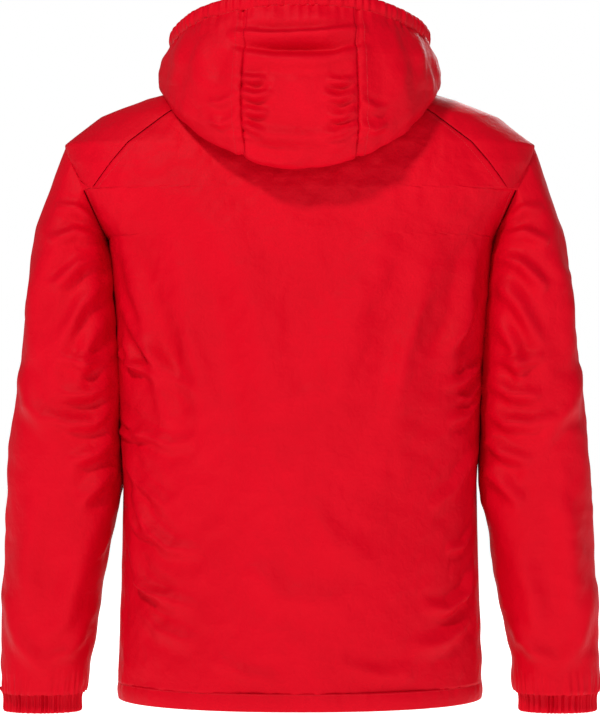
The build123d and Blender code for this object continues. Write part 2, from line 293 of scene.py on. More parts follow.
def roughened(tree, shader, low, high, share):
    """Roughness between two values, by a share from another node."""
    shine = node(tree, "MapRange", {}, {"To Min": low, "To Max": high}, {"Value": share})
    tree.links.new(shine.outputs["Result"], shader.inputs["Roughness"])


def woven(name, light, dark, thread_mm, rough, sheen, crumple=0.35, weave=0.25):
    """A plain-woven cloth: threads both ways, cloudy colour and fine crumple."""
    material, tree, shader = blank_material(name)
    place = object_place(tree)
    clouds = node(tree, "TexNoise", {}, {"Scale": 14, "Detail": 4}, {"Vector": place})
    tinted(tree, shader, light, dark, clouds.outputs["Fac"])
    threads = [node(tree, "TexWave", {"wave_type": "BANDS", "bands_direction": axis},
                    {"Scale": 1000 / thread_mm / 20, "Distortion": 0.6, "Detail": 1}, {"Vector": place})
               for axis in ("X", "Z")]
    weaving = node(tree, "Math", {"operation": "MAXIMUM"}, {},
                   {0: threads[0].outputs["Fac"], 1: threads[1].outputs["Fac"]})
    fine = node(tree, "TexNoise", {},
                {"Scale": 95, "Detail": 5, "Roughness": 0.55, "Distortion": 0.5}, {"Vector": place})
    bump = node(tree, "Bump", {}, {"Strength": weave, "Distance": 0.0004},
                {"Height": weaving.outputs[0]})
    crumpled = node(tree, "Bump", {}, {"Strength": crumple, "Distance": 0.0022},
                    {"Height": fine.outputs["Fac"], "Normal": bump.outputs["Normal"]})
    rolling = node(tree, "Bump", {}, {"Strength": crumple, "Distance": 0.012},
                   {"Height": clouds.outputs["Fac"], "Normal": crumpled.outputs["Normal"]})
    tree.links.new(rolling.outputs["Normal"], shader.inputs["Normal"])
    roughened(tree, shader, rough - 0.06, rough + 0.08, fine.outputs["Fac"])
    set_inputs(shader, {"Sheen Weight": sheen, "Sheen Roughness": 0.4, "Sheen Tint": linear(light),
                        "Specular IOR Level": 0.07})
    return material


taffeta = woven("red_polyester_taffeta", "D4001C", "C20016", 0.9, 0.55, 0.0, crumple=0.42, weave=0.1)


def bend_with_hood(obj):
    """Bakes a piece's placement into its mesh; it is not yet made to bend between the neck seam and the
    hood's end.
    """
    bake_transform(obj)


def bend_with_sleeve(obj):
    """Bakes a piece's placement into its mesh; it is not yet made to bend where it crosses the armhole."""
    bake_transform(obj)


def dress(obj, material, body=None):
    """Gives a piece its cloth and the body that it rides, if it rides one."""
    obj.data.materials.clear()
    obj.data.materials.append(material)
    if body:
        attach(obj, body)


# ------ back panel
# One piece of taffeta from the hem casing to the neckline, not quilted, with a sheet of
# wadding hanging behind it. It is sewn to the raglan sleeves and the fronts.
BACK_ROWS = 264
BACK_COLUMNS = 224
PANEL_FOOT = HEM_Z + 20
SEAM_FOOT = -126
# the raglan seam: height, and distance from the centre
RAGLAN_SEAM = np.array([
    (ARMPIT_Z, 229.5), (SEAM_FOOT, 243), (-95, 219), (-73, 200),
    (-40, 158), (-18, 126), (-4, 105), (NECK_Z, 94),
])
# how far below the armpit the lower rows of a panel end and the upper ones begin
ROW_GAPS = (6, 2)


def panel_edge(z):
    """How far from the centre a body panel reaches at heights z."""
    full = body_section(z)[0]
    under = np.minimum(armhole_x(z), full)
    over = np.interp(z, RAGLAN_SEAM[:, 0], RAGLAN_SEAM[:, 1])
    return np.where(z <= ARMPIT_Z, full, np.where(z <= SEAM_FOOT, under, over))


def panel_rows(count):
    """Heights of a body panel's rows, and the turn of its side edge at each of them."""
    below = np.linspace(PANEL_FOOT, ARMPIT_Z - ROW_GAPS[0], int(count * 0.62))
    over = np.linspace(ARMPIT_Z - ROW_GAPS[1], NECK_Z, int(count * 0.38))
    heights = np.concatenate([below, over])
    side_turn = body_turn(panel_edge(heights), heights)
    return heights, np.where(heights <= ARMPIT_Z, math.pi / 2, side_turn)


def back_panel_grid(rows, columns):
    """The back, from the wearer's left side to the right one."""
    heights, side_turn = panel_rows(rows)
    return body_grid(side_turn[:, None] * np.linspace(1, -1, columns)[None, :], heights)


# Folds of the back, as places across and up with a width and a height: drag lines from the
# shoulder blades down to the sides, and U folds low down
BACK_FOLDS = [
    ([(205, -190), (190, -250), (168, -330), (150, -420)], 16, 3),
    ([(214, -255), (190, -300), (150, -345), (110, -372)], 12, 2.6),
    ([(210, -300), (196, -330), (160, -352)], 9, 3),
    ([(212, -395), (190, -410), (150, -425), (120, -420)], 10, 2.8),
    ([(208, -440), (190, -470), (150, -500)], 12, 2.4),
    ([(200, -470), (180, -520), (150, -545), (112, -548)], 11, 3.2),
    ([(203, -540), (185, -585), (160, -605), (120, -612)], 12, 3.2),
    ([(190, -610), (165, -640), (120, -655)], 12, 2),
    ([(-205, -190), (-192, -260), (-170, -350)], 16, 2.8),
    ([(-212, -240), (-190, -290), (-150, -330)], 12, 2.2),
    ([(-214, -330), (-190, -352), (-165, -358)], 9, 2.6),
    ([(-212, -370), (-196, -392), (-172, -400)], 9, 2.8),
    ([(-210, -430), (-180, -480), (-150, -500)], 12, 2),
    ([(-208, -560), (-195, -600), (-172, -618), (-140, -612)], 10, 3.2),
    ([(-200, -630), (-170, -655), (-130, -662)], 12, 2.2),
    ([(120, -130), (60, -240), (30, -400)], 34, 2.2),
    ([(-120, -130), (-70, -250), (-30, -420)], 34, 2.2),
    ([(160, -170), (120, -300), (100, -460)], 26, 2.4),
    ([(-160, -170), (-125, -300), (-100, -450)], 26, 2.4),
    ([(60, -560), (20, -600), (-60, -610)], 20, 1.8),
    ([(100, -668), (60, -690), (20, -694)], 12, 1.6),
    ([(-40, -672), (-90, -690), (-130, -686)], 12, 1.6),
    ([(-10, -480), (-40, -540), (-90, -560)], 20, 1.6),
    ([(216, -318), (198, -334), (176, -336)], 6, 2.2),
    ([(214, -412), (200, -418), (178, -414)], 6, 2.2),
    ([(-214, -352), (-200, -372), (-184, -372)], 6, 2.2),
    ([(206, -505), (190, -530), (168, -536)], 7, 2.2),
    ([(196, -582), (172, -598), (146, -600)], 7, 2),
    ([(-206, -520), (-192, -545), (-170, -550)], 7, 2),
    ([(150, -250), (120, -330), (108, -380)], 13, 1.5),
    ([(-150, -240), (-118, -320), (-104, -390)], 13, 1.5),
]


def to_back(strokes):
    """Folds given by their place across and up, laid on the back of the body."""
    laid = []
    for path, width, height in strokes:
        x, z = [spread(values, 4 * len(path)) for values in np.array(path, float).T]
        points = body_point(body_turn(np.abs(x), z), z)
        points[:, 0] = x
        laid.append((points, width, height))
    return laid


def to_front(strokes):
    """The same, laid on the front."""
    laid = []
    for points, width, height in to_back(strokes):
        _, front, back, _ = body_section(points[:, 2])
        points[:, 1] *= -front / back
        laid.append((points, width, height))
    return laid


def crumple_body(points, strokes, edge_share, seed):
    """Lifts a body panel's points into its folds, with less crumple at its seams."""
    lift = crease(points, strokes)
    lift += 2.2 * ripple(points * (1, 1, 0.55), 150, seed) * edge_share
    lift += 0.9 * ripple(points, 46, seed + 1, sharp=0.75) * edge_share
    lift += 0.35 * ripple(points, 19, seed + 2, sharp=0.7) * edge_share
    return points + grid_normals(points) * lift[..., None]


def seam_share(points, reach=0.06):
    """Nought along the side seams of a panel, rising to one inside it."""
    rows, columns = points.shape[:2]
    across = np.linspace(0, 1, columns)
    share = np.clip(np.minimum(across, 1 - across) / reach, 0, 1)
    return np.repeat(share[None, :], rows, 0)


grid = back_panel_grid(BACK_ROWS, BACK_COLUMNS)
grid = crumple_body(grid, to_back(BACK_FOLDS), seam_share(grid), 3)
side_dip = 1 - seam_share(grid, reach=0.010)
above = (grid[..., 2] > ARMPIT_Z - ROW_GAPS[1]).astype(float)
back_cloth = grid - grid_normals(grid) * (1.2 * side_dip ** 1.5 * above)[..., None]
back_panel = cloth_piece("back_panel", back_cloth)
dress(back_panel, taffeta, "torso")
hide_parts("back_shell", "back_wadding")

# ------ front panels
# Two pieces of the same taffeta and wadding, turned back to an edge along the front zip, with
# a cut for each hand pocket that the welts cover.
# the hand pocket, round which the cloth lies flat: distance from the centre, foot and top
POCKET_X = 166
POCKET_FOOT = -655
POCKET_TOP = -465
FRONT_FOLDS = [
    ([(205, -190), (188, -260), (165, -330)], 15, 3),
    ([(213, -260), (188, -310), (140, -350)], 12, 2.4),
    ([(212, -380), (185, -410), (140, -425)], 11, 2.6),
    ([(120, -120), (75, -240), (45, -380)], 30, 2.2),
    ([(60, -560), (80, -620), (110, -660)], 20, 2),
    ([(200, -560), (185, -600), (172, -640)], 12, 2.2),
    ([(60, -430), (90, -470), (120, -480)], 18, 1.8),
]


def front_panel_grid(rows, columns, side):
    """One front, from the zip to the side seam."""
    heights, side_turn = panel_rows(rows)
    inner = math.pi - np.arcsin(ZIP_GAP / body_section(heights)[1])
    outer = math.pi - side_turn
    share = np.linspace(0, 1, columns)
    points = body_grid(inner[:, None] + (outer - inner)[:, None] * share[None, :], heights)
    return on_side(points, side)


for name, side in SIDE.items():
    grid = front_panel_grid(220, 130, side)
    strokes = [([(side * x, z) for x, z in path], width, height) for path, width, height in FRONT_FOLDS]
    share = seam_share(grid, 0.12)
    beside = (grid[..., 2] < POCKET_TOP) & (grid[..., 2] > POCKET_FOOT)
    near_pocket = np.exp(-((np.abs(grid[..., 0]) - POCKET_X) / 16) ** 2) * beside
    free = share * (1 - near_pocket)
    lifted = crumple_body(grid, to_front(strokes), free, 21 + side)
    grid = grid + (lifted - grid) * free[..., None]
    panel = cloth_piece(f"front_panel_{name}", grid)
    dress(panel, taffeta, "torso")
    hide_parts(f"front_shell_{name}", f"front_wadding_{name}")

# ------ hem
# The bottom edge of the body turned up inside and stitched round once, which leaves a flat
# casing 21 mm high below a line of stitches.
HEM_HEIGHT = 21
HEM_ROWS = 14
HEM_COLUMNS = 700
HEM_STITCH_ROW = 12

inner = math.asin(ZIP_GAP / HEM_DEPTH)
turns = np.linspace(math.pi - inner, inner - math.pi, HEM_COLUMNS)
heights = np.linspace(HEM_Z, HEM_Z + HEM_HEIGHT, HEM_ROWS)
grid = body_grid(np.repeat(turns[None, :], HEM_ROWS, 0), heights)
share = np.linspace(0, 1, HEM_ROWS)[:, None]
roll = 1.5 * np.sin(share * math.pi) - 0.4
pucker = 0.5 * ripple(grid * (1, 1, 0.2), 16, 8) * (0.3 + share)
normals = grid_normals(grid)
grid = grid + normals * (roll + pucker)[..., None]
hem = cloth_piece("hem_fold", grid, wall=2.2)
dress(hem, taffeta, "torso")
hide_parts("hem_casing")


# Core-spun polyester sewing thread, dyed to match and a little brighter than the cloth
thread, tree, shader = blank_material("polyester_sewing_thread")
twist = node(tree, "TexNoise", {}, {"Scale": 900}, {"Vector": object_place(tree)})
tinted(tree, shader, "E81428", "B80418", twist.outputs["Fac"])
shader.inputs["Roughness"].default_value = 0.5


def along_row(values, run, at):
    """A row of points or directions read off at a length along it."""
    return np.array([np.interp(at, run, values[:, k]) for k in range(3)])


def stitch_line(name, path, normals, pitch=2.6, length=1.9, thick=0.42):
    """Lockstitches along a path: one small rounded dash of thread after another."""
    steps = np.linalg.norm(np.diff(path, axis=0), axis=1)
    run = np.concatenate([[0], np.cumsum(steps)])
    count = int(run[-1] / pitch)
    verts, faces = [], []
    for i in range(count):
        at = (i + 0.5) * pitch
        ends = [along_row(path, run, spot) for spot in (at - length / 2, at + length / 2)]
        out = along_row(normals, run, at)
        along = (ends[1] - ends[0]) / max(np.linalg.norm(ends[1] - ends[0]), 1e-6)
        side = np.cross(out, along)
        start = len(verts)
        for share, swell in ((0, 0.25), (0.3, 1), (0.7, 1), (1, 0.25)):
            spot = ends[0] + (ends[1] - ends[0]) * share + out * 0.12 * swell
            for a, b in ((-1, 0), (0, 1), (1, 0), (0, -0.6)):
                verts.append(spot + (side * a + out * b) * thick * swell * 0.5)
        for k in range(3):
            for m in range(4):
                p, q = start + 4 * k + m, start + 4 * k + (m + 1) % 4
                faces.append((p, p + 4, q + 4, q))
        faces.append(tuple(start + m for m in range(4)))
        faces.append(tuple(start + 12 + m for m in (3, 2, 1, 0)))
    obj = mesh_object(name, verts, faces)
    dress(obj, thread)
    return obj


out = normals[HEM_STITCH_ROW]
hem_stitches = stitch_line("hem_stitches", grid[HEM_STITCH_ROW] + out * 0.15, out)
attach(hem_stitches, "torso")

SHOULDER_ROWS = slice(int(BACK_ROWS * 0.63), BACK_ROWS - 4)
back_out = grid_normals(back_cloth)
for name, column in (("left", 6), ("right", -7)):
    out = back_out[SHOULDER_ROWS, column]
    seam = back_cloth[SHOULDER_ROWS, column] + out * 0.25
    stitches = stitch_line(f"raglan_back_stitches_{name}", seam, out, pitch=2.9)
    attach(stitches, "torso")

# ------ raglan sleeves
# Each sleeve is one padded panel from the cuff to the neck. It is a tube below the armpit and
# lies on the shoulder above it, with a slanting seam to the front and the back panel.
# height and place of the inner edge, height and place of the outer edge, half depth
SLEEVE_SECTIONS = np.array([
    (-724, 258, -724, 357, 44),
    (-712, 255.5, -712, 358, 46),
    (-680, 250.5, -680, 358, 50),
    (-600, 237, -600, 356.5, 56),
    (-540, 226, -540, 353.5, 60),
    (-475, 213.5, -475, 349, 64),
    (-400, 211, -400, 343, 72),
    (-300, 214, -300, 332.5, 78),
    (-240, 219, -232, 323, 80),
    (-205, 226, -168, 313, 78),
    (-190, 230, -118, 300, 72),
])
SLEEVE_ROWS = 230
SLEEVE_COLUMNS = 180
CAP_ROWS = 90
# how far down the sleeve lies against the body
FLANK_FOOT = -505
# Folds of the sleeve, as places across and up on the side facing the back
SLEEVE_FOLDS = [
    ([(240, -165), (262, -150), (288, -148)], 8, 2.4),
    ([(237, -185), (262, -178), (292, -190)], 9, 3),
    ([(234, -205), (258, -215), (290, -245)], 10, 3.6),
    ([(232, -235), (256, -262), (280, -310)], 11, 3.4),
    ([(230, -275), (250, -312), (262, -360)], 11, 2.6),
    ([(224, -322), (250, -332), (285, -322)], 9, 3.4),
    ([(222, -352), (246, -366), (282, -368)], 10, 3.6),
    ([(220, -385), (242, -400), (270, -402), (300, -390)], 10, 3.6),
    ([(219, -420), (240, -436), (272, -446)], 10, 3.4),
    ([(218, -455), (236, -470), (262, -500)], 11, 3),
    ([(300, -200), (315, -260), (320, -340)], 14, 2.4),
    ([(282, -420), (318, -380), (335, -330)], 14, 2.6),
    ([(250, -540), (270, -600), (280, -660)], 16, 2),
    ([(310, -480), (322, -560), (326, -640)], 18, 2.2),
    ([(248, -640), (275, -672), (305, -684)], 11, 2.2),
    ([(350, -600), (330, -660), (300, -700)], 12, 2),
]


def sleeve_tube(rows, columns):
    """The sleeve below the armhole: rows from the cuff up, ending on the armhole itself."""
    kernel = np.hanning(25) / np.hanning(25).sum()
    section = []
    for column in SLEEVE_SECTIONS.T:
        padded = np.pad(spread(column, rows), 12, mode="reflect", reflect_type="odd")
        section.append(np.convolve(padded, kernel, "valid")[:, None])
    inner_z, inner_x, outer_z, outer_x, deep = section
    turn = np.linspace(0, 2 * math.pi, columns, endpoint=False)[None, :]
    share = (1 + np.cos(turn)) / 2
    boxed = (1 + np.sign(np.cos(turn)) * np.abs(np.cos(turn)) ** 0.75) / 2
    x = inner_x + (outer_x - inner_x) * boxed
    z = inner_z + (outer_z - inner_z) * share
    y = deep * np.sign(np.sin(turn)) * np.abs(np.sin(turn)) ** 0.88
    # where it hangs against the body its inner side takes the body's shape
    half, front, back, square = body_section(z)
    within = np.maximum(1 - (np.abs(y) / np.where(y > 0, back, front)) ** square, 0)
    flank = half * within ** (1 / square) - 0.6
    beside = np.clip((z - FLANK_FOOT) / 26, 0, 1) * np.clip((ARMPIT_Z + 6 - z) / 14, 0, 1)
    x = np.where((x < flank) & (beside > 0), x + (flank - x) * beside, x)
    # the last rows ease on to the armhole in the body
    hole_z = armhole_height(turn[0])
    hole_x = armhole_x(hole_z)
    half, front, back, square = body_section(hole_z)
    depth = np.maximum(1 - np.minimum(hole_x / half, 1) ** square, 0) ** (1 / square)
    hole_y = np.where(np.sin(turn[0]) > 0, back, -front) * depth
    ease = np.clip((np.linspace(0, 1, rows)[:, None] - 0.9) / 0.1, 0, 1) ** 1.5
    x = x + (hole_x - x) * ease
    z = z + (hole_z - z) * ease
    y = y + (hole_y - y) * ease
    return np.stack([x, y, z], axis=-1), turn[0]


# the columns of the sleeve that its shoulder end goes on from
UPPER_COLUMNS = np.arange(-SLEEVE_COLUMNS // 4, SLEEVE_COLUMNS // 4 + 1)


def shoulder_cap(rows, turns):
    """The sleeve's shoulder end, from the armhole's upper half to a point at the neck."""
    turn = turns[UPPER_COLUMNS % SLEEVE_COLUMNS] - np.where(UPPER_COLUMNS < 0, 2 * math.pi, 0)
    hole_z = armhole_height(turn)
    hole_x = armhole_x(hole_z)
    start = body_turn(hole_x, hole_z)
    start = np.where(np.sin(turn) > 0, start, math.pi - start)
    start[np.argmin(np.abs(turn))] = math.pi / 2
    up = np.linspace(0, 1, rows)[:, None]
    seam_height = hole_z[0] + (NECK_Z - hole_z[0]) * up[:, 0]
    seam_x = np.interp(seam_height, RAGLAN_SEAM[:, 0], RAGLAN_SEAM[:, 1])
    seam_x[0] = hole_x[0]
    seam_turn = body_turn(np.minimum(seam_x, body_section(seam_height)[0] - 0.01), seam_height)
    ridge = SHOULDER[1] + (NECK_Z - SHOULDER[1]) * up[:, 0] ** 0.85
    # each row runs from the front seam over the ridge to the back seam
    blend = np.abs(np.sin(turn))[None, :] / np.abs(np.sin(turn)).max()
    z = ridge[:, None] + (seam_height - ridge)[:, None] * blend
    z[0] = hole_z
    quarter = np.where(np.sin(turn)[None, :] > 0, 1, -1)
    over = math.pi / 2 - quarter * (math.pi / 2 - seam_turn[:, None]) * blend
    over[0] = start
    return body_point(over, z)


def sleeve_lift(points, seed, hang):
    """Folds and crumple of a sleeve; hang is how much of it is free of its seams."""
    flat = points[..., (0, 2)]
    lift = np.zeros(points.shape[:-1])
    facing = np.clip(points[..., 1] / 30, -1, 1)
    for path, width, height in SLEEVE_FOLDS:
        back = crease(flat, [(path, width, height)])
        front = crease(flat, [([(x, z - 18) for x, z in path], width, height)])
        lift += np.where(facing > 0, back * facing, -front * facing)
    lift += 2.6 * ripple(points * (1, 1, 0.7), 120, seed) * hang
    lift += 1.0 * ripple(points * (1, 1, 1.2), 42, seed + 5) * hang
    return lift


for name, side in SIDE.items():
    tube, turns = sleeve_tube(SLEEVE_ROWS, SLEEVE_COLUMNS)
    cap = shoulder_cap(CAP_ROWS, turns)
    cap[0] = tube[-1][UPPER_COLUMNS % SLEEVE_COLUMNS]
    up = np.linspace(0, 1, SLEEVE_ROWS)[:, None]
    hang = np.clip((1 - up) / 0.1, 0, 1) * np.clip(up / 0.04, 0, 1)
    normals = outward_normals(tube, (SLEEVE_ROWS // 2, 0), 0, closed=True)
    lift = sleeve_lift(tube, 40 if side > 0 else 60, hang) * np.clip((1 - up) / 0.04, 0, 1)
    # gathers above the cuff, where the cloth is eased on to the elastic
    low = np.exp(-((tube[..., 2] - SLEEVE_SECTIONS[0, 0]) / 20) ** 2)
    gather = np.sin(turns * 26 + 2 * np.sin(turns * 5)) * 0.8 + np.sin(turns * 41 + side) * 0.6
    lift += low * gather[None, :] * 1.5
    tube = tube + normals * lift[..., None]
    rows = np.linspace(0, 1, CAP_ROWS)[:, None]
    across = np.linspace(0, 1, cap.shape[1])
    inside = np.clip(np.minimum(across, np.linspace(1, 0, cap.shape[1])) / 0.15, 0, 1)
    cap_lift = 2.0 * ripple(cap, 110, 75 + side) + 0.5 * ripple(cap, 40, 76)
    cap_lift = cap_lift * inside * np.clip(rows * 4, 0, 1)
    cap_lift += 1.6 * inside * np.clip(rows * 6, 0, 1) * np.clip((1 - rows) * 6, 0, 1)
    cap = cap + outward_normals(cap, (40, 45), 2) * cap_lift[..., None]
    cap[0] = tube[-1][UPPER_COLUMNS % SLEEVE_COLUMNS]
    sleeve = cloth_piece(f"raglan_sleeve_{name}", on_side(tube, side), closed=True, more=on_side(cap, side))
    dress(sleeve, taffeta)
    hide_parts(f"raglan_cap_{name}", f"sleeve_shell_{name}", f"sleeve_wadding_{name}")
    bend_with_sleeve(sleeve)

# ------ hood
# A three-panel hood let down behind the neck: a bowl of taffeta, gathered along its two
# panel seams and puckered where it doubles over, its mouth drawn in by an elastic.
# half width, depth, height at the side, height at the back
HOOD_SECTIONS = np.array([
    (86, 68, 12, 10),
    (112, 92, 10, -24),
    (148, 138, 4, -98),
    (160, 160, 2, -115),
    (168, 183, 6, -84),
    (169, 190, 18, -30),
    (164, 187, 29, 22),
    (157, 176, 36, 60),
    (153, 168, 40, 76),
])
# half width and depth of its front ends, which stand against the neck and meet at the zip
FRONT_ENDS = (86, 96)
HOOD_ROWS = 190


def shoulder_height(x, y):
    """Height of the body's upper surface above a point of the plan."""
    low, high = np.full_like(x, -115.0), np.full_like(x, NECK_Z)
    for _ in range(22):
        middle = (low + high) / 2
        half, front, back, square = body_section(middle)
        deep = np.where(y > 0, back, front)
        outside = (np.abs(x) / half) ** square + (np.abs(y) / deep) ** square > 1
        low, high = np.where(outside, low, middle), np.where(outside, middle, high)
    return low


def hood_surface(turn, row):
    """Points of the lowered hood: turn 0 at the back, half a turn at the zip; row 0 at the neck."""
    rows = np.arange(len(HOOD_SECTIONS))
    half, deep, side_z, back_z = [np.interp(row, rows, column) for column in HOOD_SECTIONS.T]
    share = row / rows[-1]
    ahead = np.clip((np.abs(turn) - math.pi / 2) / (math.pi / 2), 0, 1)
    # the front ends close in on the collar
    ease = np.clip(ahead * 1.25, 0, 1) ** 0.8
    half = half + (FRONT_ENDS[0] + 7 * np.sin(share * math.pi) - half) * ease
    front = FRONT_ENDS[1] + 9 * np.sin(share * math.pi) - 4 * share
    deep = np.where(np.abs(turn) > math.pi / 2, front, deep)
    across, along = np.sin(turn), np.cos(turn)
    square = np.where(np.abs(turn) > math.pi / 2, 2.1, 2.0 + 0.6 * np.clip(row - 0.5, 0, 1))
    reach = (np.abs(across) ** square + np.abs(along) ** square) ** (-1 / square)
    x, y = half * reach * across, deep * reach * along
    z = side_z + (back_z - side_z) * np.maximum(along, 0) ** 1.5
    throat = -2 + 36 * share
    z = z + (throat - z) * ease
    rest = shoulder_height(x, y) + 2.5
    z = np.where(row < 3.4, np.maximum(z, rest), z)
    return np.stack([x, y, z], axis=-1)


def smooth_grid(points, passes):
    """Relaxes a grid of points along both ways. The first and the last row are kept."""
    for _ in range(passes):
        inner = (points[2:, 1:-1] + points[:-2, 1:-1] + points[1:-1, 2:] + points[1:-1, :-2]) / 4
        points = points.copy()
        points[1:-1, 1:-1] += (inner - points[1:-1, 1:-1]) * 0.7
        for k in (0, -1):
            points[1:-1, k] += ((points[2:, k] + points[:-2, k]) / 2 - points[1:-1, k]) * 0.7
    return points


HOOD_COLUMNS = 420
HOOD_END = math.radians(176.5)
# a row and a column on the back of the hood, where its outside faces backwards
HOOD_BACK = (120, HOOD_COLUMNS // 2)
turn_row = np.linspace(HOOD_END, -HOOD_END, HOOD_COLUMNS)
under = np.linspace(0, 3, 50)
row_column = np.concatenate([under, np.linspace(3.05, len(HOOD_SECTIONS) - 1, HOOD_ROWS - 50)])
turns, rows = np.meshgrid(turn_row, row_column)
hood_base = smooth_grid(hood_surface(turns, rows), 60)
hood_normals = outward_normals(hood_base, HOOD_BACK, 1)
# Folds of the hood, as places across and up; the first run round the back
HOOD_FOLDS = [
    ([(84, 44), (30, 38), (-30, 40), (-78, 50)], 6, 4.2),
    ([(80, 30), (30, 24), (-40, 24), (-80, 36)], 5, -3),
    ([(66, 14), (20, 8), (-30, 10), (-62, 18)], 7, 2.4),
    ([(64, -64), (40, -72), (0, -76), (-40, -74)], 8, 2.2),
    ([(66, -94), (40, -100), (0, -104)], 6, 2),
    ([(68, -8), (52, -12), (38, -10)], 4.5, 2.4),
    ([(70, -24), (50, -30), (30, -26)], 4.5, 2.6),
    ([(68, -42), (50, -48), (34, -48)], 4.5, 2.4),
    ([(70, -58), (54, -66), (40, -70)], 4.5, 2.2),
    ([(-60, -10), (-46, -14), (-30, -12)], 4.5, 2.2),
    ([(-62, -26), (-44, -32), (-26, -30)], 4.5, 2.6),
    ([(-62, -44), (-48, -52), (-30, -54)], 4.5, 2.4),
    ([(-60, -62), (-46, -70), (-28, -74)], 4.5, 2.2),
    ([(72, -30), (88, -36), (104, -34)], 5, 1.8),
    ([(72, -56), (90, -60), (104, -54)], 5, 1.8),
    ([(-66, -34), (-84, -42), (-100, -40)], 5, 1.8),
    ([(-66, -62), (-84, -66), (-100, -60)], 5, 1.8),
    ([(130, 60), (140, 20), (150, -10)], 9, 2),
    ([(-130, 60), (-138, 20), (-146, -16)], 9, 2),
    ([(104, 56), (118, 10), (112, -40)], 14, 1.8),
    ([(-104, 56), (-116, 10), (-110, -40)], 14, 1.8),
]
PANEL_SEAM = 66
outer = rows > 2.6
flat = hood_base[..., (0, 2)]
lift = crease(flat, [(path, width * 1.25, height) for path, width, height in HOOD_FOLDS])
lift *= 0.95 * outer * np.clip((hood_base[..., 1] - 10) / 30, 0, 1)
back_half = np.clip(hood_base[..., 1] / 40, 0, 1)
seam_gap = np.abs(np.abs(hood_base[..., 0]) - PANEL_SEAM)
lift -= 2.6 * np.exp(-(seam_gap / 2.6) ** 2) * outer * back_half
pucker_wave = np.sin(hood_base[..., 2] / 2.6 + 1.5 * np.sin(hood_base[..., 2] / 11))
pucker_wave *= np.exp(-(seam_gap / 9) ** 2)
lift += 0.9 * pucker_wave * outer * back_half * np.clip((10 - hood_base[..., 2]) / 30, 0.25, 1)
lift += 2.4 * ripple(hood_base, 95, 91) + 0.9 * ripple(hood_base, 34, 92)
rim_share = np.clip((rows - 6.6) / 1.4, 0, 1)
gather_wave = np.sin(turns * 62 + 3 * np.sin(turns * 9)) * 0.7 + np.sin(turns * 97 + 1) * 0.5
lift += gather_wave * rim_share * 1.1
lift *= np.clip(rows / 0.5, 0, 1)
hood_cloth = hood_base + hood_normals * lift[..., None]

# which columns belong to which panel; the seams stay a set way from the centre of the back
middle_row = HOOD_ROWS - 60
inside = (np.abs(hood_base[middle_row, :, 0]) <= PANEL_SEAM) & (hood_base[middle_row, :, 1] > 0)
first, last = np.flatnonzero(inside)[[0, -1]]
hood_parts = {
    "hood_panel_left": (hood_cloth[:, :first + 1], "hood_side_left"),
    "hood_panel_centre": (hood_cloth[:, first:last + 1], "hood_centre_panel"),
    "hood_panel_right": (hood_cloth[:, last:], "hood_side_right"),
}
for name, (points, cad_name) in hood_parts.items():
    piece = cloth_piece(name, points)
    dress(piece, taffeta)
    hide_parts(cad_name)
    bend_with_hood(piece)

hood_out = outward_normals(hood_cloth, HOOD_BACK, 1)
SEAM_ROWS = slice(46, HOOD_ROWS - 4)
seams = {
    "hood_seam_stitches_left": (SEAM_ROWS, first - 4),
    "hood_seam_stitches_right": (SEAM_ROWS, last + 4),
    "hood_edge_stitches": -2,
}
for name, place in seams.items():
    stitches = stitch_line(name, hood_cloth[place] + hood_out[place] * 0.3, hood_out[place], pitch=2.9)
    bend_with_hood(stitches)

# The elastic casing round the hood's mouth: the edge turned over a 14 mm elastic, which
# gathers it into small even pleats
CASING_HEIGHT = 17
CASING_COLUMNS = 1100
turns = np.linspace(HOOD_END, -HOOD_END, CASING_COLUMNS)
edge, out = [np.stack([spread(values, CASING_COLUMNS) for values in row.T], -1)
             for row in (hood_cloth[-1], hood_normals[-1])]
kernel = np.ones(61) / 61
edge = np.stack([np.convolve(np.pad(values, 30, mode="edge"), kernel, "valid") for values in edge.T], -1)
loop = []
pleat = np.sin(turns * 85 + 2.5 * np.sin(turns * 13)) + 0.6 * np.sin(turns * 131 + 2)
around = np.linspace(-0.42, 1.42, 26) * math.pi
at_zip = np.clip((math.pi - np.abs(turns)) / 0.5, 0.45, 1)
for angle in around:
    up = math.sin(angle) * CASING_HEIGHT / 2 + CASING_HEIGHT / 2 - 1
    away = math.cos(angle) * 4.0
    swell = 0.75 * pleat * (0.5 + 0.5 * math.cos(angle) ** 2)
    ring = edge + out * ((away - 1.6) * at_zip + swell)[:, None]
    loop.append(ring + np.array([0, 0, 1]) * up * at_zip[:, None])
casing = cloth_piece("hood_edge", np.array(loop)[::-1], wall=0.7)
dress(casing, taffeta)
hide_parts("hood_edge_casing", "hood_elastic")
bend_with_hood(casing)

# ------ linings
# Charcoal polyester pongee, smooth and slippery, hanging loose inside the body, the sleeves
# and the hood.
pongee = woven("charcoal_polyester_pongee", "2A2B2E", "202124", 0.9, 0.4, 0.1, crumple=0.25)
LINING_DEPTH = 9


def inside_of(points, normals, depth, seed):
    """A loose inner layer of the same shape."""
    loose = 1.2 * ripple(points, 70, seed)
    return points - normals * (depth + loose)[..., None]


